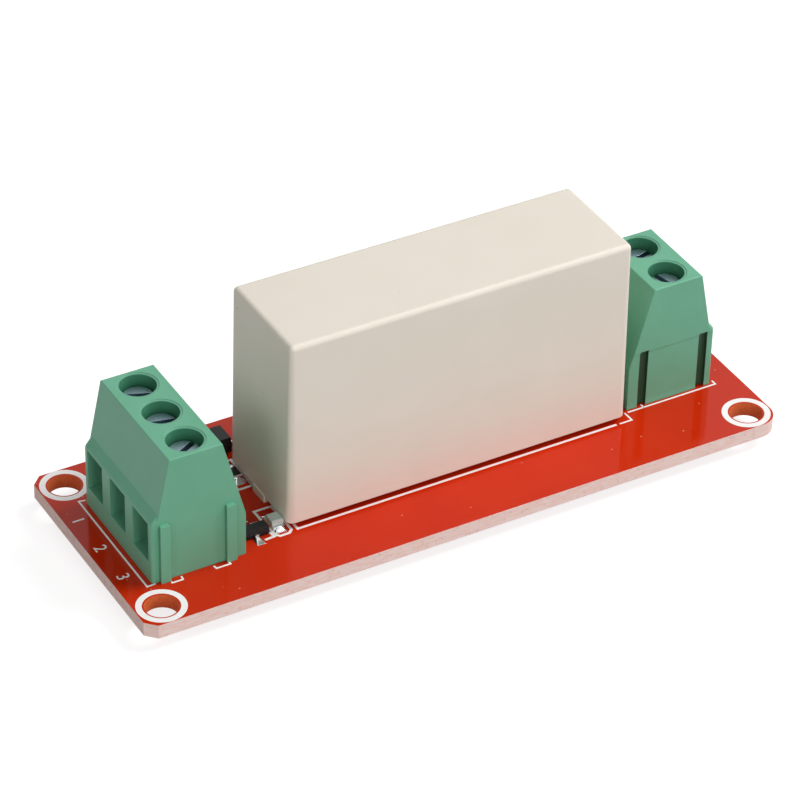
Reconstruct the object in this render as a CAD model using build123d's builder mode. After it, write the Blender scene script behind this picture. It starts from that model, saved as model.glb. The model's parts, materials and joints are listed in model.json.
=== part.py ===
from build123d import *
from math import hypot, radians, tan
import os

# Relay module board, millimetres.
# The origin is the middle of the four mounting holes, on the underside of the board.
# +X runs from the input terminal to the output terminal, +Y to the back long edge, +Z up.

os.makedirs("parts", exist_ok=True)

# Board
board_length = 73.4
board_width = 27.1
board_thickness = 1.6
board_corner_cut = 1.1
board_corner_rounding = 2.2
mount_inset_x = 2.7
mount_inset_y = 2.6
mount_hole_radius = 1.75
lead_hole_clearance = 0.17

# Screw terminals, measured from the outer wall inwards and from the board's top upwards
pole_pitch = 5.08
end_trim = 0.12
housing_depth = 10.35
housing_height = 14.4
crown_start = 2.05
crown_end = 7.85
ledge_depth = 0.8
ledge_height = 8.1
ledge_edge_height = 7.15
ledge_rounding = 0.8
corner_rounding = 0.35
back_break_height = 5.1
edge_softness = 0.12
input_poles = 3
input_back_x = -22.95
input_centre_y = -0.03
output_poles = 2
output_back_x = 23.15
output_centre_y = 0.11

# Dovetail ribs on one end wall and the grooves that take them on the other
rib_depths = (1.35, 8.6)
rib_root_width = 0.85
rib_face_width = 1.15
rib_reach = 0.45
rib_height = 6.9
rib_clearance = 0.08
parting_height = 6.8
parting_step = 0.05

# Wire openings, screw wells and the chamber of each pole
opening_width = 3.35
opening_bottom = 2.3
opening_top = 6.95
well_ring_width = 0.22
well_ring_depth = 0.06
web_thickness = 0.7
chamber_clearance = 0.14

# Clamp screw
screw_head_radius = 1.74
screw_head_height = 1.9
screw_head_recess = 1.3
screw_head_chamfer = 0.25
screw_shank_radius = 1.25
screw_tip_chamfer = 0.35
screw_slot_width = 0.6
screw_slot_depth = 0.85
head_clearance = 0.16
shank_clearance = 0.1
thread_clearance = 0.05
seat_gap = 0.02
tip_gap = 0.2
input_slot_angles = (-22, -13, 28)
output_slot_angles = (103, 12)

# Rising clamp cage
cage_length = 4.2
cage_width = 3.7
cage_floor = 0.8
cage_roof = 1.4
cage_window_width = 2.9
cage_window_height = 3.9
cage_corner = 0.25

# Bent contact with its solder tail
contact_side_gap = 0.15
contact_thickness = 0.6
contact_roof_gap = 0.1
contact_setback = 0.15
contact_bend = 0.9
leg_centre_depth = 8.25
leg_end_height = 0.4
pocket_clearance = 0.12
tail_width = 1.0
tail_reach = 1.6

# Relay
relay_centre_x = 2.27
relay_centre_y = 0.12
relay_top_length = 39.0
relay_top_width = 12.3
relay_height = 21.25
relay_standoff = 0.7
relay_draft = 0.7
relay_corner = 0.75
inner_chamfer = 0.5
relay_top_rounding = 0.55
relay_wall = 1.2
relay_foot_width = 2.4
relay_foot_height = 0.9
relay_foot_proud = 0.12
potting_recess = 0.4
potting_thickness = 3.6
inner_board_length = 33.0
inner_board_height = 15.0
inner_board_thickness = 1.0
inner_board_lift = 1.2
relay_pin_offsets = (-16.0, -10.9, 9.0, 16.0)
relay_pin_width = 1.0
relay_pin_thickness = 0.6
relay_pin_grip = 4.0
coupler_length = 6.4
coupler_depth = 3.4
coupler_height = 7.2
coupler_offset = -11.0
coupler_lift = 8.0
switch_length = 10.0
switch_depth = 3.0
switch_height = 9.0
switch_tab_height = 3.0
switch_tab_thickness = 1.2
switch_offset = 9.0
switch_lift = 4.0

# Solder under the board
solder_spread = 0.35
solder_waist_cover = 0.26
solder_waist_height = 0.4
solder_tip_cover = 0.14
solder_height = 1.1
solder_gap = 0.02
solder_sides = 10

# Small surface parts, with their centres on the board
led_centre = (-18.22, -4.55)
led_length = 2.1
led_width = 1.28
led_base_height = 0.35
led_lens_length = 1.6
led_lens_height = 0.55
led_lens_bevel = 0.12
led_cap_length = 0.3
led_cap_skin = 0.06

resistor_centre = (-18.15, 4.45)
resistor_length = 2.0
resistor_width = 1.25
resistor_height = 0.5
resistor_coat_length = 1.36
resistor_coat_border = 0.07
resistor_coat_thickness = 0.06
resistor_cap_length = 0.3
resistor_cap_skin = 0.05

transistor_centre = (-20.9, -5.2)
transistor_length = 2.9
transistor_width = 1.3
transistor_height = 1.0
transistor_lift = 0.08
transistor_split = 0.5
transistor_draft = 7.0
transistor_lead_pitch = 0.95
transistor_lead_width = 0.42
transistor_lead_thickness = 0.13
transistor_lead_reach = 0.55
transistor_lead_bend = 0.2

diode_centre = (-18.8, 8.95)
diode_length = 4.3
diode_width = 2.6
diode_height = 2.15
diode_lift = 0.1
diode_split = 1.05
diode_draft = 5.0
diode_lead_width = 1.45
diode_lead_thickness = 0.2
diode_lead_proud = 0.36
diode_lead_foot = 1.2

# Solder fillets of the surface parts: how far they run out and how high they climb
led_fillet = (0.58, 0.33)
resistor_fillet = (0.8, 0.42)
transistor_fillet = (0.95, 0.36)
diode_fillet = (0.5, 0.6)
transistor_pad_width = 0.9
fillet_thinness = 0.03
fillet_bow = 1.6

# Worked out from the values above
board_top = board_thickness
mount_spacing_x = board_length - 2 * mount_inset_x
mount_spacing_y = board_width - 2 * mount_inset_y
input_wall_x = input_back_x - housing_depth
output_wall_x = output_back_x + housing_depth
screw_depth = (crown_start + crown_end) / 2
head_seat_height = housing_height - screw_head_recess - screw_head_height
chamber_top = head_seat_height - web_thickness
cage_bottom = opening_bottom - cage_floor
cage_height = cage_floor + cage_window_height + cage_roof
well_radius = screw_head_radius + head_clearance
contact_width = cage_window_width - 2 * contact_side_gap
contact_top = opening_bottom + cage_window_height - contact_roof_gap
chamber_length = cage_length + 2 * chamber_clearance
chamber_width = cage_width + 2 * chamber_clearance
contact_start = screw_depth - cage_length / 2 + contact_setback
contact_end = leg_centre_depth + contact_thickness / 2
screw_tip_height = contact_top + tip_gap
relay_base_height = board_top + relay_standoff
relay_spread = 2 * relay_height * tan(radians(relay_draft))
relay_base_length = relay_top_length + relay_spread
relay_base_width = relay_top_width + relay_spread

input_seat = Plane(origin=(input_wall_x, input_centre_y, board_top), x_dir=(1, 0, 0), z_dir=(0, 0, 1))
output_seat = Plane(origin=(output_wall_x, output_centre_y, board_top), x_dir=(-1, 0, 0), z_dir=(0, 0, 1))


def side_plane(seat, along):
    """Upright plane across the row of poles: x is the depth into the housing, y the height."""
    origin = seat.from_local_coords((0, along, 0))
    return Plane(origin=origin, x_dir=seat.x_dir, z_dir=-seat.y_dir)


def front_plane(seat, depth):
    """Upright plane facing into the housing: x runs along the row of poles, y is the height."""
    origin = seat.from_local_coords((depth, 0, 0))
    return Plane(origin=origin, x_dir=seat.y_dir, z_dir=seat.x_dir)


def pole_places(poles):
    """Places of the poles along the row, the first at the grooved end."""
    return [((poles - 1) / 2 - index) * pole_pitch for index in range(poles)]


def dovetail(clearance):
    """Dovetail section, grown from its root at y = 0, with the clearance added all round."""
    half_root = rib_root_width / 2 + clearance
    half_face = rib_face_width / 2 + clearance
    reach = rib_reach + clearance
    with BuildSketch() as section:
        with BuildLine():
            Polyline((-half_root, 0), (half_root, 0), (half_face, reach), (-half_face, reach), close=True)
        make_face()
    return section.sketch


def make_housing(name, seat, poles):
    """Moulded housing of one screw terminal."""
    places = pole_places(poles)
    row_length = poles * pole_pitch - 2 * end_trim
    half_row = row_length / 2
    with BuildPart() as housing:
        # The body is one profile run along the poles
        with BuildSketch(side_plane(seat, half_row)):
            with BuildLine():
                Polyline(
                    (0, 0),
                    (0, ledge_edge_height),
                    (ledge_depth, ledge_height),
                    (crown_start, housing_height),
                    (crown_end, housing_height),
                    (housing_depth, back_break_height),
                    (housing_depth, 0),
                    close=True,
                )
            profile = make_face()
            fillet(profile.vertices().sort_by_distance((0, ledge_edge_height))[0], ledge_rounding)
        extrude(amount=row_length)

        # Softened outer corners of the wire side, crown and end walls
        outer_side = Axis(seat.origin, seat.x_dir)
        fillet(housing.edges().filter_by(Axis.Z).group_by(outer_side)[0], corner_rounding)
        fillet(housing.edges().group_by(Axis.Z)[-1], edge_softness)

        # Ribs on one end wall
        rib_plane = Plane(
            origin=seat.from_local_coords((0, -half_row, 0)), x_dir=-seat.x_dir, z_dir=seat.z_dir
        )
        with BuildSketch(rib_plane):
            with Locations(*[(-depth, 0) for depth in rib_depths]):
                add(dovetail(0))
        extrude(amount=rib_height)

        # Grooves in the other end wall, and the faint step of the mould's parting line
        groove_plane = Plane(
            origin=seat.from_local_coords((0, half_row, 0)), x_dir=-seat.x_dir, z_dir=seat.z_dir
        )
        with BuildSketch(groove_plane):
            with Locations(*[(-depth, 0) for depth in rib_depths]):
                add(dovetail(rib_clearance))
        extrude(amount=rib_height + rib_clearance, mode=Mode.SUBTRACT)
        with BuildSketch(seat):
            with Locations((housing_depth / 2, half_row)):
                Rectangle(housing_depth, 2 * parting_step)
        extrude(amount=parting_height, mode=Mode.SUBTRACT)

        # Screw wells with a shallow ring round each mouth, and the shank holes below
        pole_points = [(screw_depth, place) for place in places]
        with BuildSketch(seat.offset(head_seat_height)):
            with Locations(*pole_points):
                Circle(well_radius)
        extrude(amount=housing_height - head_seat_height, mode=Mode.SUBTRACT)
        with BuildSketch(seat.offset(housing_height)):
            with Locations(*pole_points):
                Circle(well_radius + well_ring_width)
        extrude(amount=-well_ring_depth, mode=Mode.SUBTRACT)
        with BuildSketch(seat.offset(chamber_top)):
            with Locations(*pole_points):
                Circle(screw_shank_radius + shank_clearance)
        extrude(amount=web_thickness, mode=Mode.SUBTRACT)

        # Chambers for the cages, pockets for the contacts, and the wire openings
        with BuildSketch(seat):
            with Locations(*pole_points):
                Rectangle(chamber_length, chamber_width)
        extrude(amount=chamber_top, mode=Mode.SUBTRACT)
        pocket_end = contact_end + pocket_clearance
        with BuildSketch(seat):
            with Locations(*[((screw_depth + pocket_end) / 2, place) for place in places]):
                Rectangle(pocket_end - screw_depth, contact_width + 2 * pocket_clearance)
        extrude(amount=contact_top + pocket_clearance, mode=Mode.SUBTRACT)
        with BuildSketch(front_plane(seat, 0)):
            with Locations(*[(place, (opening_bottom + opening_top) / 2) for place in places]):
                Rectangle(opening_width, opening_top - opening_bottom)
        extrude(amount=screw_depth, mode=Mode.SUBTRACT)

    housing.part.label = name
    export_step(housing.part, f"parts/{name}.step")


def make_screw(name, seat, place, slot_angle):
    """Slotted clamp screw, held in its well and turning in place."""
    head_bottom = head_seat_height + seat_gap
    with BuildPart() as screw:
        with BuildSketch(seat.offset(screw_tip_height)):
            with Locations((screw_depth, place)):
                Circle(screw_shank_radius)
        extrude(amount=head_bottom - screw_tip_height)
        chamfer(screw.edges().group_by(Axis.Z)[0], screw_tip_chamfer)
        with BuildSketch(seat.offset(head_bottom)):
            with Locations((screw_depth, place)):
                Circle(screw_head_radius)
        extrude(amount=screw_head_height)
        chamfer(screw.edges().group_by(Axis.Z)[-1], screw_head_chamfer)
        with BuildSketch(seat.offset(head_bottom + screw_head_height)):
            with Locations(Location((screw_depth, place, 0), (0, 0, slot_angle))):
                Rectangle(2 * well_radius, screw_slot_width)
        extrude(amount=-screw_slot_depth, mode=Mode.SUBTRACT)
    screw.part.label = name
    export_step(screw.part, f"parts/{name}.step")


def make_cage(name, seat, place):
    """Clamp cage that the screw draws up: a square tube with a tapped roof."""
    with BuildPart() as cage:
        with BuildSketch(seat.offset(cage_bottom)) as outline:
            with Locations((screw_depth, place)):
                Rectangle(cage_length, cage_width)
            chamfer(outline.vertices(), cage_corner)
        extrude(amount=cage_height)
        with BuildSketch(front_plane(seat, screw_depth - cage_length / 2)):
            with Locations((place, opening_bottom + cage_window_height / 2)):
                Rectangle(cage_window_width, cage_window_height)
        extrude(amount=cage_length, mode=Mode.SUBTRACT)
        with BuildSketch(seat.offset(cage_bottom + cage_height)):
            with Locations((screw_depth, place)):
                Circle(screw_shank_radius + thread_clearance)
        extrude(amount=-cage_roof, mode=Mode.SUBTRACT)
    cage.part.label = name
    export_step(cage.part, f"parts/{name}.step")


def make_contact(name, seat, place):
    """Bent contact: the wire is clamped under its blade, and its leg ends in the solder tail."""
    leg_near = leg_centre_depth - contact_thickness / 2
    blade_bottom = contact_top - contact_thickness
    with BuildPart() as contact:
        with BuildSketch(side_plane(seat, place + contact_width / 2)):
            with BuildLine():
                Polyline((contact_start, blade_bottom), (contact_start, contact_top))
                FilletPolyline(
                    (contact_start, contact_top),
                    (contact_end, contact_top),
                    (contact_end, leg_end_height),
                    radius=contact_bend,
                )
                Polyline((contact_end, leg_end_height), (leg_near, leg_end_height))
                FilletPolyline(
                    (leg_near, leg_end_height),
                    (leg_near, blade_bottom),
                    (contact_start, blade_bottom),
                    radius=contact_bend - contact_thickness,
                )
            make_face()
        extrude(amount=contact_width)
        with BuildSketch(seat.offset(leg_end_height)):
            with Locations((leg_centre_depth, place)):
                Rectangle(contact_thickness, tail_width)
        extrude(amount=-(leg_end_height + board_thickness + tail_reach))
    contact.part.label = name
    export_step(contact.part, f"parts/{name}.step")


# Screw terminals
terminals = (
    ("input", input_seat, input_poles, input_slot_angles),
    ("output", output_seat, output_poles, output_slot_angles),
)
tails = []
for side, seat, poles, slot_angles in terminals:
    make_housing(f"{side}_terminal_housing", seat, poles)
    for number, (place, slot_angle) in enumerate(zip(pole_places(poles), slot_angles), start=1):
        make_screw(f"{side}_screw_{number}", seat, place, slot_angle)
        make_cage(f"{side}_clamp_cage_{number}", seat, place)
        make_contact(f"{side}_contact_{number}", seat, place)
        tail_point = seat.from_local_coords((leg_centre_depth, place, 0))
        tails.append((tail_point.X, tail_point.Y, contact_thickness, tail_width))

# Relay: drafted case, open below and sealed by the potting
relay_base = Plane.XY.offset(relay_base_height)
pin_row_y = relay_centre_y - inner_board_thickness / 2 - relay_pin_thickness / 2
cavity_length = relay_base_length - 2 * relay_wall
cavity_width = relay_base_width - 2 * relay_wall

with BuildPart() as relay_case:
    with BuildSketch(relay_base):
        with Locations((relay_centre_x, relay_centre_y)):
            RectangleRounded(relay_base_length, relay_base_width, relay_corner)
    extrude(amount=relay_height, taper=relay_draft)
    fillet(relay_case.faces().sort_by(Axis.Z)[-1].edges(), relay_top_rounding)
    with BuildSketch(relay_base):
        with Locations((relay_centre_x, relay_centre_y)):
            Rectangle(cavity_length, cavity_width)
    extrude(amount=relay_height - relay_wall, taper=relay_draft, mode=Mode.SUBTRACT)
    # A foot under the middle of each end wall holds the rim off the board
    foot_spacing = relay_base_length - relay_wall + relay_foot_proud
    with BuildSketch(Plane.XY.offset(board_top)):
        with Locations((relay_centre_x, relay_centre_y)):
            with GridLocations(foot_spacing, 0, 2, 1):
                Rectangle(relay_wall + relay_foot_proud, relay_foot_width)
    extrude(amount=relay_foot_height)
relay_case.part.label = "relay_case"
export_step(relay_case.part, "parts/relay_case.step")

inner_board_bottom = relay_base_height + inner_board_lift
with BuildPart() as relay_inner_board:
    with BuildSketch(Plane.XY.offset(inner_board_bottom)):
        with Locations((relay_centre_x, relay_centre_y)):
            Rectangle(inner_board_length, inner_board_thickness)
    extrude(amount=inner_board_height)
relay_inner_board.part.label = "relay_inner_board"
export_step(relay_inner_board.part, "parts/relay_inner_board.step")

pin_points = [(relay_centre_x + offset, pin_row_y) for offset in relay_pin_offsets]
pin_top = inner_board_bottom + relay_pin_grip
for number, pin_point in enumerate(pin_points, start=1):
    with BuildPart() as relay_pin:
        with BuildSketch(Plane.XY.offset(-tail_reach)):
            with Locations(pin_point):
                Rectangle(relay_pin_width, relay_pin_thickness)
        extrude(amount=pin_top + tail_reach)
    relay_pin.part.label = f"relay_pin_{number}"
    export_step(relay_pin.part, f"parts/relay_pin_{number}.step")
    tails.append((*pin_point, relay_pin_width, relay_pin_thickness))

potting_draft_loss = 2 * potting_recess * tan(radians(relay_draft))
with BuildPart() as relay_potting:
    with BuildSketch(relay_base.offset(potting_recess)):
        with Locations((relay_centre_x, relay_centre_y)):
            Rectangle(cavity_length - potting_draft_loss, cavity_width - potting_draft_loss)
    extrude(amount=potting_thickness, taper=relay_draft)
    with BuildSketch(Plane.XY.offset(inner_board_bottom)):
        with Locations((relay_centre_x, relay_centre_y)):
            Rectangle(inner_board_length, inner_board_thickness)
    extrude(amount=inner_board_height, mode=Mode.SUBTRACT)
    with BuildSketch(Plane.XY.offset(board_top)):
        with Locations(*pin_points):
            Rectangle(relay_pin_width, relay_pin_thickness)
    extrude(amount=pin_top - board_top, mode=Mode.SUBTRACT)
relay_potting.part.label = "relay_potting"
export_step(relay_potting.part, "parts/relay_potting.step")

inner_board_back_y = relay_centre_y + inner_board_thickness / 2
inner_board_front_y = relay_centre_y - inner_board_thickness / 2
with BuildPart() as relay_optocoupler:
    with BuildSketch(Plane.XY.offset(inner_board_bottom + coupler_lift - coupler_height / 2)):
        with Locations((relay_centre_x + coupler_offset, inner_board_front_y - coupler_depth / 2)):
            Rectangle(coupler_length, coupler_depth)
    extrude(amount=coupler_height)
    chamfer(relay_optocoupler.faces().sort_by(Axis.Y)[0].edges(), inner_chamfer)
relay_optocoupler.part.label = "relay_optocoupler"
export_step(relay_optocoupler.part, "parts/relay_optocoupler.step")

with BuildPart() as relay_power_switch:
    with BuildSketch(Plane.XY.offset(inner_board_bottom + switch_lift)):
        with Locations((relay_centre_x + switch_offset, inner_board_back_y + switch_depth / 2)):
            Rectangle(switch_length, switch_depth)
    extrude(amount=switch_height)
    chamfer(relay_power_switch.faces().sort_by(Axis.Y)[-1].edges(), inner_chamfer)
    with BuildSketch(Plane.XY.offset(inner_board_bottom + switch_lift + switch_height)):
        with Locations((relay_centre_x + switch_offset, inner_board_back_y + switch_tab_thickness / 2)):
            Rectangle(switch_length, switch_tab_thickness)
    extrude(amount=switch_tab_height)
relay_power_switch.part.label = "relay_power_switch"
export_step(relay_power_switch.part, "parts/relay_power_switch.step")

# Circuit board
with BuildPart() as circuit_board:
    with BuildSketch() as board_outline:
        Rectangle(board_length, board_width)
        corners = board_outline.vertices().sort_by_distance((board_length / 2, -board_width / 2))
        fillet(corners[0], board_corner_rounding)
        chamfer(corners[1:], board_corner_cut)
    extrude(amount=board_thickness)
    with GridLocations(mount_spacing_x, mount_spacing_y, 2, 2):
        Hole(mount_hole_radius)
    for tail_x, tail_y, size_x, size_y in tails:
        with Locations((tail_x, tail_y)):
            Hole(hypot(size_x, size_y) / 2 + lead_hole_clearance)
circuit_board.part.label = "circuit_board"
export_step(circuit_board.part, "parts/circuit_board.step")

# Solder round every tail: a plug in the hole and a waisted cone under the board
with BuildPart() as solder_joints:
    for tail_x, tail_y, size_x, size_y in tails:
        tail_radius = hypot(size_x, size_y) / 2
        hole_radius = tail_radius + lead_hole_clearance
        hole_plane = Plane(origin=(tail_x, tail_y, 0))
        with BuildSketch(hole_plane):
            RegularPolygon(hole_radius - solder_gap, solder_sides)
        extrude(amount=board_thickness)
        with BuildSketch(hole_plane):
            RegularPolygon(hole_radius + solder_spread, solder_sides)
        with BuildSketch(hole_plane.offset(-solder_waist_height)):
            RegularPolygon(tail_radius + solder_waist_cover, solder_sides)
        with BuildSketch(hole_plane.offset(-solder_height)):
            RegularPolygon(tail_radius + solder_tip_cover, solder_sides)
        loft(ruled=True)
        with BuildSketch(hole_plane.offset(-tail_reach)):
            Rectangle(size_x, size_y)
        extrude(amount=tail_reach + board_thickness, mode=Mode.SUBTRACT)
solder_joints.part.label = "solder_joints"
export_step(solder_joints.part, "parts/solder_joints.step")

# Indicator diode, long side along Y: base, clear lens and two end caps
led_plane = Plane(origin=(*led_centre, board_top), x_dir=(1, 0, 0), z_dir=(0, 0, 1))
led_cap_spacing = led_length - led_cap_length
with BuildPart() as led_base:
    with BuildSketch(led_plane):
        Rectangle(led_width, led_length - 2 * led_cap_skin)
    extrude(amount=led_base_height)
    with BuildSketch(led_plane):
        with GridLocations(0, led_cap_spacing, 1, 2):
            Rectangle(led_width, led_cap_length)
    extrude(amount=led_cap_skin, mode=Mode.SUBTRACT)
    with BuildSketch(led_plane.offset(led_base_height)):
        with GridLocations(0, led_cap_spacing, 1, 2):
            Rectangle(led_width, led_cap_length)
    extrude(amount=-led_cap_skin, mode=Mode.SUBTRACT)
led_base.part.label = "led_base"
export_step(led_base.part, "parts/led_base.step")

with BuildPart() as led_lens:
    with BuildSketch(led_plane.offset(led_base_height)):
        Rectangle(led_width, led_lens_length - 2 * led_cap_skin)
    extrude(amount=led_lens_height)
    chamfer(led_lens.faces().sort_by(Axis.Z)[-1].edges().filter_by(Axis.X), led_lens_bevel)
led_lens.part.label = "led_lens"
export_step(led_lens.part, "parts/led_lens.step")

with BuildPart() as led_end_caps:
    for end in (-1, 1):
        with BuildSketch(led_plane):
            with Locations((0, end * led_cap_spacing / 2)):
                Rectangle(led_width, led_cap_length)
        extrude(amount=led_base_height)
        with BuildSketch(led_plane.offset(led_cap_skin)):
            with Locations((0, end * (led_cap_spacing / 2 - led_cap_skin))):
                Rectangle(led_width, led_cap_length)
        extrude(amount=led_base_height - 2 * led_cap_skin, mode=Mode.SUBTRACT)
led_end_caps.part.label = "led_end_caps"
export_step(led_end_caps.part, "parts/led_end_caps.step")

# Chip resistor, long side along Y: ceramic body with its dark coat, and two end caps
resistor_plane = Plane(origin=(*resistor_centre, board_top), x_dir=(1, 0, 0), z_dir=(0, 0, 1))
resistor_cap_spacing = resistor_length - resistor_cap_length
with BuildPart() as resistor_body:
    with BuildSketch(resistor_plane.offset(resistor_cap_skin)):
        Rectangle(resistor_width, resistor_length - 2 * resistor_cap_skin)
    extrude(amount=resistor_height - 2 * resistor_cap_skin)
resistor_body.part.label = "resistor_body"
export_step(resistor_body.part, "parts/resistor_body.step")

with BuildPart() as resistor_coat:
    with BuildSketch(resistor_plane.offset(resistor_height - resistor_cap_skin)):
        Rectangle(resistor_width - 2 * resistor_coat_border, resistor_coat_length)
    extrude(amount=resistor_coat_thickness)
resistor_coat.part.label = "resistor_coat"
export_step(resistor_coat.part, "parts/resistor_coat.step")

with BuildPart() as resistor_end_caps:
    for end in (-1, 1):
        with BuildSketch(resistor_plane):
            with Locations((0, end * resistor_cap_spacing / 2)):
                Rectangle(resistor_width, resistor_cap_length)
        extrude(amount=resistor_height)
        with BuildSketch(resistor_plane.offset(resistor_cap_skin)):
            with Locations((0, end * (resistor_cap_spacing / 2 - resistor_cap_skin))):
                Rectangle(resistor_width, resistor_cap_length)
        extrude(amount=resistor_height - 2 * resistor_cap_skin, mode=Mode.SUBTRACT)
resistor_end_caps.part.label = "resistor_end_caps"
export_step(resistor_end_caps.part, "parts/resistor_end_caps.step")

# Three-lead transistor, long side along X: one lead at the front, two at the back
transistor_plane = Plane(origin=(*transistor_centre, board_top), x_dir=(1, 0, 0), z_dir=(0, 0, 1))
with BuildPart() as transistor_body:
    with BuildSketch(transistor_plane.offset(transistor_split)):
        Rectangle(transistor_length, transistor_width)
    extrude(amount=transistor_height - transistor_split, taper=transistor_draft)
    with BuildSketch(transistor_plane.offset(transistor_split)):
        Rectangle(transistor_length, transistor_width)
    extrude(amount=-(transistor_split - transistor_lift), taper=transistor_draft)
transistor_body.part.label = "transistor_body"
export_step(transistor_body.part, "parts/transistor_body.step")

lead_shoulder = transistor_width / 2
lead_toe = lead_shoulder + transistor_lead_reach
with BuildPart() as transistor_leads:
    lead_places = ((0, -1), (-transistor_lead_pitch, 1), (transistor_lead_pitch, 1))
    for lead_x, side in lead_places:
        lead_plane = Plane(
            origin=transistor_plane.from_local_coords((lead_x - side * transistor_lead_width / 2, 0, 0)),
            x_dir=(0, side, 0),
            z_dir=(side, 0, 0),
        )
        with BuildSketch(lead_plane):
            with BuildLine():
                Polyline(
                    (lead_shoulder, transistor_split),
                    (lead_shoulder + transistor_lead_bend, transistor_split),
                    (lead_shoulder + transistor_lead_bend, transistor_lead_thickness),
                    (lead_toe, transistor_lead_thickness),
                    (lead_toe, 0),
                    (lead_shoulder + transistor_lead_bend - transistor_lead_thickness, 0),
                    (
                        lead_shoulder + transistor_lead_bend - transistor_lead_thickness,
                        transistor_split - transistor_lead_thickness,
                    ),
                    (lead_shoulder, transistor_split - transistor_lead_thickness),
                    close=True,
                )
            make_face()
        extrude(amount=transistor_lead_width)
transistor_leads.part.label = "transistor_leads"
export_step(transistor_leads.part, "parts/transistor_leads.step")

# Moulded diode, long side along X, with a flat lead folded under each end
diode_plane = Plane(origin=(*diode_centre, board_top), x_dir=(1, 0, 0), z_dir=(0, 0, 1))
with BuildPart() as diode_body:
    with BuildSketch(diode_plane.offset(diode_split)):
        Rectangle(diode_length, diode_width)
    extrude(amount=diode_height - diode_split, taper=diode_draft)
    with BuildSketch(diode_plane.offset(diode_split)):
        Rectangle(diode_length, diode_width)
    extrude(amount=-(diode_split - diode_lift - diode_lead_thickness), taper=diode_draft)
diode_body.part.label = "diode_body"
export_step(diode_body.part, "parts/diode_body.step")

with BuildPart() as diode_leads:
    for end in (-1, 1):
        wall = diode_length / 2
        tip = wall + diode_lead_proud
        lead_plane = Plane(
            origin=diode_plane.from_local_coords((0, end * diode_lead_width / 2, 0)),
            x_dir=(end, 0, 0),
            z_dir=(0, -end, 0),
        )
        with BuildSketch(lead_plane):
            with BuildLine():
                Polyline(
                    (wall, diode_split + diode_lead_thickness / 2),
                    (tip, diode_split + diode_lead_thickness / 2),
                    (tip, 0),
                    (tip - diode_lead_foot, 0),
                    (tip - diode_lead_foot, diode_lead_thickness),
                    (tip - diode_lead_thickness, diode_lead_thickness),
                    (tip - diode_lead_thickness, diode_split - diode_lead_thickness / 2),
                    (wall, diode_split - diode_lead_thickness / 2),
                    close=True,
                )
            make_face()
        extrude(amount=diode_lead_width)
diode_leads.part.label = "diode_leads"
export_step(diode_leads.part, "parts/diode_leads.step")


# Solder fillets on the pads of the surface parts: where each starts, the way it faces and its size
fillet_places = []
for end in (-1, 1):
    led_end = (led_centre[0], led_centre[1] + end * led_length / 2)
    resistor_end = (resistor_centre[0], resistor_centre[1] + end * resistor_length / 2)
    diode_end = (diode_centre[0] + end * (diode_length / 2 + diode_lead_proud), diode_centre[1])
    fillet_places.append((led_end, (0, end), led_width, led_fillet))
    fillet_places.append((resistor_end, (0, end), resistor_width, resistor_fillet))
    fillet_places.append((diode_end, (end, 0), diode_lead_width, diode_fillet))
for lead_x, side in lead_places:
    lead_end_y = transistor_centre[1] + side * (lead_shoulder + transistor_lead_bend)
    lead_end = (transistor_centre[0] + lead_x, lead_end_y)
    fillet_places.append((lead_end, (0, side), transistor_pad_width, transistor_fillet))

with BuildPart() as pad_solder:
    for start, facing, width, (run, climb) in fillet_places:
        facing_dir = Vector(*facing)
        side_dir = facing_dir.cross(Vector(0, 0, 1))
        wedge_origin = Vector(*start, board_top) - side_dir * (width / 2)
        with BuildSketch(Plane(origin=wedge_origin, x_dir=facing_dir, z_dir=side_dir)):
            with BuildLine():
                Polyline((run, fillet_thinness), (run, 0), (0, 0), (0, climb))
                RadiusArc((0, climb), (run, fillet_thinness), -fillet_bow * run)
            make_face()
        extrude(amount=width)
    add(transistor_leads.part, mode=Mode.SUBTRACT)
pad_solder.part.label = "pad_solder"
export_step(pad_solder.part, "parts/pad_solder.step")
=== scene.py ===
import json
import math
import bpy
from mathutils import Matrix, Vector


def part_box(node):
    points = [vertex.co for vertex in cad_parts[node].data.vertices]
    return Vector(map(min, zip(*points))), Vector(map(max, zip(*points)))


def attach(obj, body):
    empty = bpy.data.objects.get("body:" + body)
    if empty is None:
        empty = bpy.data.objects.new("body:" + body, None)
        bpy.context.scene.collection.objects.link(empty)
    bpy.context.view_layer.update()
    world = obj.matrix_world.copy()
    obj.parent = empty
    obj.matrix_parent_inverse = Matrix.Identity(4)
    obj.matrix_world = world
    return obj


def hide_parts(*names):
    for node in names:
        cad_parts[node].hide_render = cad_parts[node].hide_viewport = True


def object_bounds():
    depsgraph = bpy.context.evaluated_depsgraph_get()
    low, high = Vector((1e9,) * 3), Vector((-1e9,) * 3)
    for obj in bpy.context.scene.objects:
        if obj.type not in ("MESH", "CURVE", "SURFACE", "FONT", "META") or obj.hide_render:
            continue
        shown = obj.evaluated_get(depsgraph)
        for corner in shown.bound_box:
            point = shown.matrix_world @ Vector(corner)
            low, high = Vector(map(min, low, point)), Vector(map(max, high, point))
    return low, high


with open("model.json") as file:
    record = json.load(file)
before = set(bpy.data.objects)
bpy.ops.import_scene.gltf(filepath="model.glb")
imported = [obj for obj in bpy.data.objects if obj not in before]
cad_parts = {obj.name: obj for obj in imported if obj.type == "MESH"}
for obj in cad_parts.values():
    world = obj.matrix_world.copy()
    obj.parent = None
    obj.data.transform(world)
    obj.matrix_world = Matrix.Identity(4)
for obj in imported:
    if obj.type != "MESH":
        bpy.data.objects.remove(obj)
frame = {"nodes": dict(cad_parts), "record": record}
cad_low, cad_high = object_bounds()
nodes = frame["nodes"]
mounts = frame["record"]["mounts"]
MM = 0.001

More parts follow.
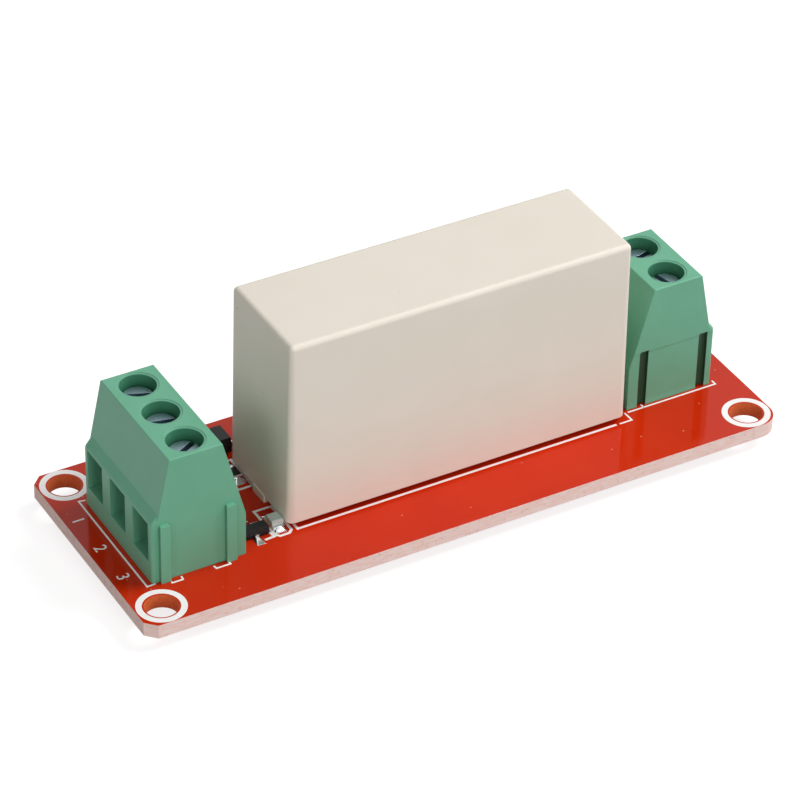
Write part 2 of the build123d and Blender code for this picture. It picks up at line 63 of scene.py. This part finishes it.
# Places taken from the frame, in metres
board_low, board_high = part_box("circuit_board")
board_top = board_high.z
input_low, input_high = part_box("input_terminal_housing")
output_low, output_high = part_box("output_terminal_housing")
led_low, led_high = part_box("led_lens")
led_base_low, led_base_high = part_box("led_base")
resistor_low, resistor_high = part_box("resistor_body")
transistor_low, transistor_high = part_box("transistor_body")
diode_low, diode_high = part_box("diode_body")
diode_leads_low, diode_leads_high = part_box("diode_leads")
holes = next(mount for mount in mounts if mount["name"] == "board_holes")["dims"]
hole_x = holes["spacing_x_mm"] / 2
hole_y = holes["spacing_y_mm"] / 2

# Printing, in millimetres
print_thickness = 0.02
fine_line = 0.19
bold_line = 0.28
ring_outer = 2.56
ring_inner = 1.92
ring_points = 72
number_height = 1.9
number_x = -35.35

# Corner cuts along each edge of the board, and how near points are merged, in millimetres
corner_cut = 1.1
merge_distance = 0.001

# Outlines printed round the parts, as runs of corner points on the board
input_outline = ((-33.2, 7.7), (-33.91, 7.83), (-33.91, -7.65), (-32.95, -7.6))
rib_bracket_front = ((-31.44, -8.05), (-31.44, -8.25), (-30.3, -8.25), (-30.22, -7.74))
rib_bracket_back = ((-26.67, -7.77), (-26.6, -8.25), (-25.05, -8.25), (-25.05, -7.74))
output_outline = ((23.09, -5.14), (33.95, -5.14), (33.95, -4.5))
output_tick = ((25.03, -4.58), (25.03, -5.14))
relay_front_line = ((-16.58, -5.6), (-16.55, -6.4), (20.9, -6.42))
relay_corner_line = ((21.3, -6.46), (22.76, -6.46), (22.73, -5.1))
led_outline = (
    (-19.14, -3.47), (-19.14, -1.91), (-17.2, -1.91), (-17.16, -6.2),
    (-17.6, -6.6), (-18.64, -6.62), (-18.98, -6.24), (-19.04, -4.9),
)
resistor_outline = ((-18.85, 2.6), (-18.85, 2.05), (-17.2, 2.05), (-17.2, 6.9), (-18.85, 6.9))
transistor_mark = ((-20.28, -6.48), (-19.2, -6.4), (-19.3, -5.6))
back_mark = ((-22.5, -3.0), (-20.4, -3.0))
fine_outlines = (
    input_outline, rib_bracket_front, rib_bracket_back, output_outline, output_tick,
    relay_corner_line, back_mark,
)
bold_outlines = (relay_front_line, led_outline, resistor_outline, transistor_mark)

# Solder fillets on the small parts' pads, in millimetres: width, run along the pad, climb up the part
led_fillet = (1.28, 0.64, 0.42)
resistor_fillet = (1.25, 0.85, 0.47)
diode_fillet = (1.45, 0.5, 0.6)
transistor_fillet = (0.9, 0.95, 0.36)
transistor_leads = ((0, -1), (-0.95, 1), (0.95, 1))
transistor_lead_reach = 0.2

# Dies in the lens, in millimetres: how far along from its middle, and how wide
dies = (("led_die_front", -0.2, 0.22), ("led_die_back", 0.18, 0.28))
die_height = 0.12
die_middle_height = 0.08
die_edge = 0.03

# Tinned pads round the joints on the underside, in millimetres
pad_radius = 1.45
pad_hole_radius = 0.72
pad_thickness = 0.035

# Grooves in the end walls of the terminals, darkened by painted shade, in millimetres: their places behind
# the wire face, their size, and the share of their reach that stays green at the rim
groove_depths = (1.35, 8.6)
groove_half_width = 0.7
groove_height = 6.98
groove_reach = 0.53
groove_rim_share = 0.15

# Screw wells, in millimetres: how far their walls stand off the screws, and between what depths painted shade
# darkens them
well_gap = 0.3
well_rim = 0.15
well_depth = 3.0

# Viewpoint of the photograph: its angles, shift and distance from the middle and its lens, in millimetres
camera_azimuth = math.radians(-30.179)
camera_elevation = math.radians(36.001)
camera_roll = math.radians(1.366)
camera_right = -1.049
camera_up = 6.267
camera_distance = 402.201
camera_lens = 175.894

# Studio, in metres and watts: what is seen of the floor and sky is brighter than the light they cast
floor_size = 4
floor_glow = 0.8
sky_light = 0.25
softbox_size = 0.3
softboxes = (
    ("key_softbox", (0.42, -0.105, 0.546), 3.5),
    ("top_softbox", (0.0, 0.0, 0.7), 0.1),
    ("front_softbox", (-0.05, -0.66, 0.22), 1.35),
    ("left_softbox", (-0.58, -0.31, 0.24), 0.5),
)


# Helpers for modelling

def deselect():
    """Leaves edit mode and selects nothing, so that the next operator acts on one piece."""
    if bpy.context.object and bpy.context.object.mode != "OBJECT":
        bpy.ops.object.mode_set(mode="OBJECT")
    bpy.ops.object.select_all(action="DESELECT")


def pick(piece):
    """Selects one piece and nothing else."""
    deselect()
    piece.select_set(True)
    bpy.context.view_layer.objects.active = piece


def settle(piece):
    """Puts the place, turn and scale of a piece into its mesh."""
    pick(piece)
    bpy.ops.object.transform_apply(location=True, rotation=True, scale=True)
    return piece


def apply_modifiers(piece):
    pick(piece)
    for modifier in list(piece.modifiers):
        bpy.ops.object.modifier_apply(modifier=modifier.name)


def finish_piece(piece, material, body):
    """Dresses a piece and lets it ride on its body."""
    piece.data.materials.clear()
    piece.data.materials.append(material)
    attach(piece, body)


def join_pieces(pieces, name):
    """Makes several pieces one."""
    deselect()
    for piece in pieces:
        piece.select_set(True)
    bpy.context.view_layer.objects.active = pieces[0]
    bpy.ops.object.join()
    pieces[0].name = name
    return pieces[0]


def circle_points(centre_x, centre_y, radius):
    step = 2 * math.pi / ring_points
    return [
        (centre_x + radius * math.cos(index * step), centre_y + radius * math.sin(index * step))
        for index in range(ring_points)
    ]


def ribbon(points, width, mitre_limit=0.4):
    """Closed outline of a line of even width, with mitred corners; the limit keeps sharp ones short."""
    places = [Vector(point) for point in points]
    left, right = [], []
    for index, place in enumerate(places):
        before = (place - places[index - 1]).normalized() if index else None
        after = (places[index + 1] - place).normalized() if index + 1 < len(places) else None
        along_in, along_out = before or after, after or before
        normal_in = Vector((-along_in.y, along_in.x))
        normal_out = Vector((-along_out.y, along_out.x))
        mitre = (normal_in + normal_out).normalized()
        reach = width / 2 / max(mitre.dot(normal_in), mitre_limit)
        left.append(place + mitre * reach)
        right.append(place - mitre * reach)
    return [(point.x, point.y) for point in left + right[::-1]]


def flat_piece(name, shapes, height, thickness):
    """A flat print or plate made of closed outlines, in millimetres; an outline inside another is a hole."""
    curve = bpy.data.curves.new(name, "CURVE")
    curve.dimensions = "2D"
    curve.fill_mode = "BOTH"
    curve.extrude = thickness / 2 * MM
    for shape in shapes:
        spline = curve.splines.new("POLY")
        spline.points.add(len(shape) - 1)
        for point, (x, y) in zip(spline.points, shape):
            point.co = (x * MM, y * MM, 0, 1)
        spline.use_cyclic_u = True
    piece = bpy.data.objects.new(name, curve)
    bpy.context.scene.collection.objects.link(piece)
    pick(piece)
    bpy.ops.object.convert(target="MESH")
    piece.location.z = height
    return settle(piece)


# Helpers for materials

def linear(code):
    """sRGB hex colour as linear RGBA."""
    parts = [int(code[start:start + 2], 16) / 255 for start in (1, 3, 5)]
    bright = [part / 12.92 if part <= 0.04045 else ((part + 0.055) / 1.055) ** 2.4 for part in parts]
    return (*bright, 1.0)


def per_mm(size):
    """Scale of a pattern whose features are this many millimetres apart, on coordinates in metres."""
    return 1 / (size * MM)


def add_node(tree, kind, inputs=None, **settings):
    """Adds a node; inputs gives each socket a value or the output that feeds it."""
    node = tree.nodes.new(kind)
    for key, value in settings.items():
        setattr(node, key, value)
    for key, value in (inputs or {}).items():
        if isinstance(value, bpy.types.NodeSocket):
            tree.links.new(value, node.inputs[key])
        else:
            node.inputs[key].default_value = value
    return node


def start_material(name, **sockets):
    """A material with its shader's constant sockets set, and the object's own coordinates."""
    material = bpy.data.materials.new(name)
    material.use_nodes = True
    tree = material.node_tree
    shader = tree.nodes["Principled BSDF"]
    for key, value in sockets.items():
        shader.inputs[key.replace("_", " ")].default_value = value
    coordinates = add_node(tree, "ShaderNodeTexCoord")
    return material, tree, shader, coordinates


def mottled(tree, place, dark, light, size, detail=3.0):
    """Two colours blended by soft noise, with features of this size in millimetres."""
    noise = add_node(tree, "ShaderNodeTexNoise", {"Vector": place, "Scale": per_mm(size), "Detail": detail})
    mix = add_node(
        tree, "ShaderNodeMix",
        {"Factor": noise.outputs["Fac"], "A": linear(dark), "B": linear(light)}, data_type="RGBA",
    )
    return mix.outputs["Result"]


def speckled(tree, place, ground, speck, spacing, inner, outer, strength):
    """Specks on a ground, fading from the inner radius to the outer one, both in shares of the spacing."""
    cells = add_node(tree, "ShaderNodeTexVoronoi", {"Vector": place, "Scale": per_mm(spacing)}, feature="F1")
    amount = add_node(
        tree, "ShaderNodeMapRange",
        {
            "Value": cells.outputs["Distance"], "From Min": inner, "From Max": outer,
            "To Min": strength, "To Max": 0.0,
        },
    )
    mix = add_node(
        tree, "ShaderNodeMix",
        {"Factor": amount.outputs["Result"], "A": ground, "B": linear(speck)}, data_type="RGBA",
    )
    return mix.outputs["Result"]


def rough_skin(tree, shader, place, size, depth, edge_radius=0.0):
    """Fine moulded or cast skin as bump, over edges that the light finds slightly rounded; in millimetres."""
    noise = add_node(tree, "ShaderNodeTexNoise", {"Vector": place, "Scale": per_mm(size), "Detail": 2.0})
    bump = add_node(
        tree, "ShaderNodeBump",
        {"Height": noise.outputs["Fac"], "Distance": depth * MM, "Strength": 1.0},
    )
    if edge_radius:
        edge = add_node(tree, "ShaderNodeBevel", {"Radius": edge_radius * MM}, samples=6)
        tree.links.new(edge.outputs["Normal"], bump.inputs["Normal"])
    tree.links.new(bump.outputs["Normal"], shader.inputs["Normal"])


def inside_boxes(tree, place, boxes):
    """One inside any of the boxes and nought outside; each is a middle and half its size."""
    inside_any = 0.0
    for middle, half in boxes:
        scaled = add_node(
            tree, "ShaderNodeMapping", {"Vector": place, "Location": middle, "Scale": half},
            vector_type="TEXTURE",
        )
        folded = add_node(tree, "ShaderNodeVectorMath", {0: scaled.outputs["Vector"]}, operation="ABSOLUTE")
        axes = add_node(tree, "ShaderNodeSeparateXYZ", {"Vector": folded.outputs["Vector"]})
        furthest = axes.outputs["X"]
        for axis in "YZ":
            furthest = add_node(
                tree, "ShaderNodeMath", {0: furthest, 1: axes.outputs[axis]}, operation="MAXIMUM"
            ).outputs[0]
        inside = add_node(tree, "ShaderNodeMath", {0: furthest, 1: 1.0}, operation="LESS_THAN")
        inside_any = add_node(
            tree, "ShaderNodeMath", {0: inside.outputs[0], 1: inside_any}, operation="MAXIMUM"
        ).outputs[0]
    return inside_any


# The board's material

def cut_edge(tree, place):
    """The cut edge shows the glass cloth as pale layers along it, with darker chips."""
    stretch = add_node(tree, "ShaderNodeMapping", {"Vector": place, "Scale": (0.15, 0.15, 1.0)})
    cloth = mottled(tree, stretch.outputs["Vector"], "#F2B7A8", "#FFF5F1", size=0.16, detail=6.0)
    chips = add_node(tree, "ShaderNodeTexNoise", {"Vector": place, "Scale": per_mm(0.5), "Detail": 4.0})
    chipped = add_node(
        tree, "ShaderNodeMapRange",
        {"Value": chips.outputs["Fac"], "From Min": 0.56, "From Max": 0.72, "To Min": 0.0, "To Max": 0.35},
    )
    mix = add_node(
        tree, "ShaderNodeMix",
        {"Factor": chipped.outputs["Result"], "A": cloth, "B": linear("#C49A90")}, data_type="RGBA",
    )
    return mix.outputs["Result"]


def away_from_holes(tree, place):
    """Nought round the four mounting holes and one everywhere else."""
    flat = add_node(tree, "ShaderNodeVectorMath", {0: place, 1: (1.0, 1.0, 0.0)}, operation="MULTIPLY")
    folded = add_node(tree, "ShaderNodeVectorMath", {0: flat.outputs["Vector"]}, operation="ABSOLUTE")
    from_hole = add_node(
        tree, "ShaderNodeVectorMath",
        {0: folded.outputs["Vector"], 1: (hole_x * MM, hole_y * MM, 0.0)}, operation="DISTANCE",
    )
    away = add_node(
        tree, "ShaderNodeMath", {0: from_hole.outputs["Value"], 1: ring_inner * MM}, operation="GREATER_THAN"
    )
    return away.outputs[0]


def red_board():
    """Red solder mask on glass-epoxy laminate: wet gloss on the faces, pale fibrous cut edges."""
    material, tree, shader, coordinates = start_material(
        "red_solder_mask_on_laminate", IOR=1.5, Specular_IOR_Level=0.22
    )
    place = coordinates.outputs["Object"]
    mask = mottled(tree, place, "#C22304", "#D13109", size=9.0)
    # Dust and fine pits in the lacquer
    lacquer = speckled(tree, place, mask, "#F0B49A", spacing=2.2, inner=0.03, outer=0.055, strength=0.55)
    # The four mounting holes show bare orange laminate
    drilled = mottled(tree, place, "#D0562A", "#EE804A", size=0.3)
    wall = add_node(
        tree, "ShaderNodeMix",
        {"Factor": away_from_holes(tree, place), "A": drilled, "B": cut_edge(tree, place)}, data_type="RGBA",
    )
    # Lacquer lies on what faces up or down, and the walls are bare
    facing = add_node(tree, "ShaderNodeSeparateXYZ", {"Vector": coordinates.outputs["Normal"]})
    upright = add_node(tree, "ShaderNodeMath", {0: facing.outputs["Z"]}, operation="ABSOLUTE")
    face = add_node(tree, "ShaderNodeMath", {0: upright.outputs[0], 1: 0.7}, operation="GREATER_THAN")
    colour = add_node(
        tree, "ShaderNodeMix",
        {"Factor": face.outputs[0], "A": wall.outputs["Result"], "B": lacquer}, data_type="RGBA",
    )
    gloss = add_node(tree, "ShaderNodeMapRange", {"Value": face.outputs[0], "To Min": 0.7, "To Max": 0.1})
    tree.links.new(colour.outputs["Result"], shader.inputs["Base Color"])
    tree.links.new(gloss.outputs["Result"], shader.inputs["Roughness"])
    # The lacquer flows a little over what lies under it
    rough_skin(tree, shader, place, size=1.6, depth=0.004)
    return material


# The terminals' material

def groove_boxes():
    """Boxes where shade is painted in the grooves of the terminals' end walls, which start a little behind
    the faces.
    """
    half = (groove_half_width * MM, groove_reach / 2 * MM, groove_height / 2 * MM)
    inset = (0.5 + groove_rim_share) * groove_reach * MM
    boxes = []
    for depth in groove_depths:
        front = (output_high.x - depth * MM, output_low.y + inset, board_top + half[2])
        back = (input_low.x + depth * MM, input_high.y - inset, board_top + half[2])
        boxes += [(front, half), (back, half)]
    return boxes


def well_boxes():
    """Boxes where shade is painted on the walls of the screw wells, from a little under their rims."""
    half_depth = well_depth / 2 * MM
    boxes = []
    for name in sorted(nodes):
        if "_screw_" in name:
            low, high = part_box(name)
            reach = (high.x - low.x) / 2 + well_gap * MM
            middle_z = input_high.z - well_rim * MM - half_depth
            middle = ((low.x + high.x) / 2, (low.y + high.y) / 2, middle_z)
            boxes.append((middle, (reach, reach, half_depth)))
    return boxes


def green_nylon():
    """Moulded nylon: satin, with a fine spark-eroded skin, and painted shade in its wells and grooves."""
    material, tree, shader, coordinates = start_material(
        "green_nylon_moulded", Roughness=0.42, IOR=1.53, Specular_IOR_Level=0.35
    )
    place = coordinates.outputs["Object"]
    skin = mottled(tree, place, "#65AA8A", "#6FB494", size=3.0)
    # Painted shade: a deeper green on the walls of the screw wells
    well_shaded = add_node(
        tree, "ShaderNodeMix",
        {"Factor": inside_boxes(tree, place, well_boxes()), "A": skin, "B": linear("#3F8463")},
        data_type="RGBA",
    )
    # Painted shade: a near black-green in the grooves of the end walls
    colour = add_node(
        tree, "ShaderNodeMix",
        {
            "Factor": inside_boxes(tree, place, groove_boxes()), "A": well_shaded.outputs["Result"],
            "B": linear("#2C4F38"),
        },
        data_type="RGBA",
    )
    tree.links.new(colour.outputs["Result"], shader.inputs["Base Color"])
    rough_skin(tree, shader, place, size=0.12, depth=0.004, edge_radius=0.12)
    return material


# The other materials

def cream_moulding():
    """Moulded polyester case: eggshell cream with a fine matt skin and a few dark specks."""
    material, tree, shader, coordinates = start_material(
        "cream_polyester_moulded", Roughness=0.46, IOR=1.5, Specular_IOR_Level=0.35
    )
    place = coordinates.outputs["Object"]
    skin = mottled(tree, place, "#E6DED0", "#EEE7DA", size=7.0)
    colour = speckled(tree, place, skin, "#6B6258", spacing=4.5, inner=0.012, outer=0.022, strength=0.6)
    tree.links.new(colour, shader.inputs["Base Color"])
    rough_skin(tree, shader, place, size=0.1, depth=0.003, edge_radius=0.15)
    return material


def black_epoxy(name, dark, light, roughness):
    """Moulded or cast black epoxy: charcoal grey where the light rakes it."""
    material, tree, shader, coordinates = start_material(
        name, Roughness=roughness, IOR=1.55, Specular_IOR_Level=0.25
    )
    place = coordinates.outputs["Object"]
    tree.links.new(mottled(tree, place, dark, light, size=0.4), shader.inputs["Base Color"])
    rough_skin(tree, shader, place, size=0.06, depth=0.004, edge_radius=0.06)
    return material


def plated_metal(name, dark, light, roughness, grain, relief):
    """Plated metal: a colour cast from the plating, and fine uneven brightness."""
    material, tree, shader, coordinates = start_material(name, Metallic=1.0)
    place = coordinates.outputs["Object"]
    tree.links.new(mottled(tree, place, dark, light, size=grain), shader.inputs["Base Color"])
    noise = add_node(tree, "ShaderNodeTexNoise", {"Vector": place, "Scale": per_mm(grain / 2)})
    sheen = add_node(
        tree, "ShaderNodeMapRange",
        {"Value": noise.outputs["Fac"], "To Min": roughness * 0.6, "To Max": roughness * 1.5},
    )
    tree.links.new(sheen.outputs["Result"], shader.inputs["Roughness"])
    rough_skin(tree, shader, place, size=grain, depth=relief, edge_radius=0.05)
    return material


def clear_resin():
    """Cast resin over the dies: milky green-white, with little light passing through."""
    material, tree, shader, coordinates = start_material(
        "clear_resin_cast", Roughness=0.12, IOR=1.5, Transmission_Weight=0.1
    )
    place = coordinates.outputs["Object"]
    colour = mottled(tree, place, "#A4BCAB", "#FFFFFF", size=0.25, detail=4.0)
    tree.links.new(colour, shader.inputs["Base Color"])
    rough_skin(tree, shader, place, size=0.5, depth=0.004, edge_radius=0.05)
    return material


def matt_stock(name, dark, light, roughness=0.6):
    """Matt stock such as screen ink, laminate or sintered ceramic: even, and dull in the light."""
    material, tree, shader, coordinates = start_material(name, Roughness=roughness)
    place = coordinates.outputs["Object"]
    tree.links.new(mottled(tree, place, dark, light, size=0.35), shader.inputs["Base Color"])
    rough_skin(tree, shader, place, size=0.08, depth=0.002)
    return material


finishes = {
    "board_red": red_board(),
    "terminal_green": green_nylon(),
    "relay_cream": cream_moulding(),
    "potting_black": black_epoxy("black_epoxy_cast", "#101112", "#1B1C1D", roughness=0.35),
    "mould_black": black_epoxy("black_epoxy_moulded", "#0F1011", "#1B1D1F", roughness=0.5),
    "inner_board_green": matt_stock("green_laminate", "#234A2C", "#2E5A38"),
    "zinc_screw": plated_metal(
        "blue_zinc_plated_steel", "#6A8192", "#B9CCD6", roughness=0.33, grain=0.15, relief=0.002
    ),
    "cage_steel": plated_metal(
        "nickel_plated_steel", "#A9A59C", "#C9C6BE", roughness=0.3, grain=0.6, relief=0.004
    ),
    "contact_tin": plated_metal(
        "tinned_brass", "#B4B1AA", "#D8D6D0", roughness=0.25, grain=0.5, relief=0.004
    ),
    "solder": plated_metal(
        "bright_solder", "#BDC0C3", "#ECEEF0", roughness=0.16, grain=0.7, relief=0.0015
    ),
    "lens_resin": clear_resin(),
    "led_base_white": matt_stock("white_laminate", "#D9CFB6", "#E9E1CB"),
    "alumina": matt_stock("sintered_alumina", "#E6E2DA", "#F4F1EB"),
}
coat_black = black_epoxy("black_glass_coat", "#0D0D0E", "#161617", roughness=0.2)
screen_ink = matt_stock("white_screen_ink", "#F6F3F1", "#FFFEFD", roughness=0.55)

for subpart in frame["record"]["subparts"]:
    node = nodes[subpart["node"]]
    node.data.materials.clear()
    node.data.materials.append(finishes[subpart["material_slot"]])
nodes["resistor_coat"].data.materials[0] = coat_black


# The board, cut at the three corners that its solid leaves square

def make_cut_board():
    board = bpy.data.objects.new("cut_board", nodes["circuit_board"].data.copy())
    bpy.context.scene.collection.objects.link(board)
    pick(board)
    bpy.ops.mesh.customdata_custom_splitnormals_clear()
    bpy.ops.object.mode_set(mode="EDIT")
    bpy.ops.mesh.select_all(action="SELECT")
    bpy.ops.mesh.remove_doubles(threshold=merge_distance * MM)
    cut_x = board_high.x - corner_cut / 2 * MM
    cut_y = board_high.y - corner_cut / 2 * MM
    for end, side in ((-1, -1), (-1, 1), (1, 1)):
        bpy.ops.mesh.select_all(action="SELECT")
        bpy.ops.mesh.bisect(
            plane_co=(end * cut_x, side * cut_y, 0), plane_no=(end, side, 0),
            use_fill=True, clear_outer=True, threshold=merge_distance * MM,
        )
    bpy.ops.object.mode_set(mode="OBJECT")
    bpy.ops.object.shade_smooth_by_angle(angle=math.radians(30))
    finish_piece(board, finishes["board_red"], "board")
    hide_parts("circuit_board")


# Printing on the board

def make_printing():
    prints = [[ribbon(line, fine_line)] for line in fine_outlines]
    prints += [[ribbon(line, bold_line)] for line in bold_outlines]
    for x in (-hole_x, hole_x):
        for y in (-hole_y, hole_y):
            prints.append([circle_points(x, y, radius) for radius in (ring_outer, ring_inner)])
    height = board_top + print_thickness / 2 * MM
    pieces = [flat_piece("print", shapes, height, print_thickness) for shapes in prints]
    finish_piece(join_pieces(pieces, "board_printing"), screen_ink, "board")


def make_pole_numbers():
    """Plain numbers beside the poles of the input terminal, read from the left."""
    poles = [mount for mount in mounts if mount["name"].startswith("input_wire_")]
    for number, pole in enumerate(poles, start=1):
        deselect()
        bpy.ops.object.text_add()
        text = bpy.context.object
        text.name = f"pole_number_{number}"
        text.data.body = str(number)
        text.data.size = number_height * MM
        text.data.extrude = print_thickness / 2 * MM
        text.data.align_x = "CENTER"
        text.data.align_y = "CENTER"
        bpy.ops.object.convert(target="MESH")
        text.location = (number_x * MM, pole["pos_m"][1], board_top + print_thickness / 2 * MM)
        text.rotation_euler.z = -math.pi / 2
        finish_piece(settle(text), screen_ink, "board")


# Solder on the pads of the small parts

def make_fillet(name, start, facing, width, run, climb):
    """A solder fillet: full against the part, hollow down to the toe of its pad."""
    hollow, side_slope, toe, draft = 1.3, 1.6, 0.05, 0.12
    deselect()
    bpy.ops.mesh.primitive_cube_add(size=1)
    piece = bpy.context.object
    piece.name = name
    piece.scale = (run * MM, width * MM, climb * MM)
    piece.location = (run / 2 * MM, 0, climb / 2 * MM)
    settle(piece)
    bpy.ops.object.mode_set(mode="EDIT")
    bpy.ops.mesh.select_all(action="SELECT")
    bpy.ops.mesh.subdivide(number_cuts=7)
    bpy.ops.object.mode_set(mode="OBJECT")
    for vertex in piece.data.vertices:
        out = vertex.co.x / (run * MM)
        side = 2 * vertex.co.y / (width * MM)
        # A hipped form: a hollow front slope down to the toe, and a steeper slope to each side
        vertex.co.z *= min(max(1 - out, 0) ** hollow, side_slope * (1 - abs(side))) + toe
        vertex.co.y *= 1 - draft * vertex.co.z / (climb * MM)
    piece.rotation_euler.z = math.atan2(facing[1], facing[0])
    piece.location = (start[0], start[1], board_top)
    settle(piece)
    piece.modifiers.new("rounding", "SUBSURF").levels = 1
    apply_modifiers(piece)
    bpy.ops.object.shade_smooth()
    finish_piece(piece, finishes["solder"], "board")
    return piece


def make_pad_solder():
    led_x = (led_low.x + led_high.x) / 2
    resistor_x = (resistor_low.x + resistor_high.x) / 2
    diode_y = (diode_low.y + diode_high.y) / 2
    transistor_x = (transistor_low.x + transistor_high.x) / 2
    fillets = []
    for side, end, led_y, resistor_y, diode_x in (
        ("front", -1, led_base_low.y, resistor_low.y, diode_leads_low.x),
        ("back", 1, led_base_high.y, resistor_high.y, diode_leads_high.x),
    ):
        fillets.append((f"led_solder_{side}", (led_x, led_y), (0, end), *led_fillet))
        fillets.append((f"resistor_solder_{side}", (resistor_x, resistor_y), (0, end), *resistor_fillet))
        fillets.append((f"diode_solder_{side}", (diode_x, diode_y), (end, 0), *diode_fillet))
    for number, (offset, end) in enumerate(transistor_leads, start=1):
        y = transistor_low.y if end < 0 else transistor_high.y
        start = (transistor_x + offset * MM, y + end * transistor_lead_reach * MM)
        fillets.append((f"transistor_solder_{number}", start, (0, end), *transistor_fillet))
    pieces = [make_fillet(*fillet) for fillet in fillets]
    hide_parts("pad_solder")


# Inside the lens: two dies

def make_led_dies():
    centre_x = (led_low.x + led_high.x) / 2
    centre_y = (led_low.y + led_high.y) / 2
    for name, offset, size in dies:
        deselect()
        bpy.ops.mesh.primitive_cube_add(size=1)
        die = bpy.context.object
        die.name = name
        die.scale = (size * MM, size * MM, die_height * MM)
        die.location = (centre_x, centre_y + offset * MM, led_base_high.z + die_middle_height * MM)
        settle(die)
        bevel = die.modifiers.new("edges", "BEVEL")
        bevel.width = die_edge * MM
        bevel.segments = 2
        apply_modifiers(die)
        finish_piece(die, coat_black, "board")


# Pads on the underside

def make_underside():
    shapes = []
    for name, node in sorted(nodes.items()):
        if "_contact_" in name or name.startswith("relay_pin_"):
            tail = [vertex.co for vertex in node.data.vertices if vertex.co.z < board_low.z]
            centre = sum(tail, Vector()) / len(tail)
            for radius in (pad_radius, pad_hole_radius):
                shapes.append(circle_points(centre.x / MM, centre.y / MM, radius))
    height = board_low.z - pad_thickness / 2 * MM
    pads = flat_piece("underside_pads", shapes, height, pad_thickness)
    finish_piece(pads, finishes["solder"], "board")


# Studio

def seen_directly(tree):
    """One for rays from the camera, a reflection or clear resin, and nought for light cast on things."""
    path = add_node(tree, "ShaderNodeLightPath")
    seen = path.outputs["Is Camera Ray"]
    for ray in ("Is Glossy Ray", "Is Transmission Ray"):
        seen = add_node(
            tree, "ShaderNodeMath", {0: seen, 1: path.outputs[ray]}, operation="MAXIMUM"
        ).outputs[0]
    return seen


def make_floor():
    deselect()
    bpy.ops.mesh.primitive_plane_add(size=floor_size)
    floor = bpy.context.object
    floor.name = "floor"
    floor.location.z = cad_low.z
    settle(floor)
    material, tree, shader, _ = start_material("pale_floor", Roughness=0.9)
    shader.inputs["Base Color"].default_value = linear("#A6A6A6")
    lift = add_node(tree, "ShaderNodeMath", {0: seen_directly(tree), 1: floor_glow}, operation="MULTIPLY")
    glow = add_node(tree, "ShaderNodeEmission", {"Color": linear("#FFFFFF"), "Strength": lift.outputs[0]})
    both = add_node(tree, "ShaderNodeAddShader", {0: shader.outputs[0], 1: glow.outputs[0]})
    tree.links.new(both.outputs[0], tree.nodes["Material Output"].inputs["Surface"])
    floor.data.materials.append(material)


def make_sky():
    world = bpy.data.worlds.new("studio")
    bpy.context.scene.world = world
    world.use_nodes = True
    sky = world.node_tree
    background = sky.nodes["Background"]
    level = add_node(
        sky, "ShaderNodeMapRange", {"Value": seen_directly(sky), "To Min": sky_light, "To Max": 1.0}
    )
    sky.links.new(level.outputs["Result"], background.inputs["Strength"])
    background.inputs["Color"].default_value = linear("#FFFFFF")


def make_softboxes():
    """Strengths follow the photo's shading: a key high on the right, a low front box, two weak ones."""
    for name, place, power in softboxes:
        lamp = bpy.data.lights.new(name, "AREA")
        lamp.size = softbox_size
        lamp.energy = power
        light = bpy.data.objects.new(name, lamp)
        light.location = place
        light.rotation_mode = "QUATERNION"
        light.rotation_quaternion = (-Vector(place)).to_track_quat("-Z", "Y")
        bpy.context.scene.collection.objects.link(light)


def make_camera():
    """The photograph's viewpoint, worked out from the board's edges and holes."""
    level = math.cos(camera_elevation)
    back = Vector((
        math.sin(camera_azimuth) * level, -math.cos(camera_azimuth) * level, math.sin(camera_elevation)
    ))
    right = Vector((math.cos(camera_azimuth), math.sin(camera_azimuth), 0))
    up = back.cross(right)
    turned_right = math.cos(camera_roll) * right + math.sin(camera_roll) * up
    turned_up = -math.sin(camera_roll) * right + math.cos(camera_roll) * up
    camera = bpy.data.objects.new("camera", bpy.data.cameras.new("camera"))
    camera.data.sensor_width = 36
    camera.data.lens = camera_lens
    camera.data.clip_start = 0.01
    camera.data.clip_end = 20
    place = (turned_right * camera_right + turned_up * camera_up + back * camera_distance) * MM
    turn = Matrix((turned_right, turned_up, back)).transposed().to_4x4()
    camera.matrix_world = Matrix.Translation(place) @ turn
    bpy.context.scene.collection.objects.link(camera)
    bpy.context.scene.camera = camera


make_camera()
make_cut_board()
make_printing()
make_pole_numbers()
make_pad_solder()
make_led_dies()
make_underside()
make_floor()
make_sky()
make_softboxes()
bpy.context.scene.view_settings.view_transform = "Standard"
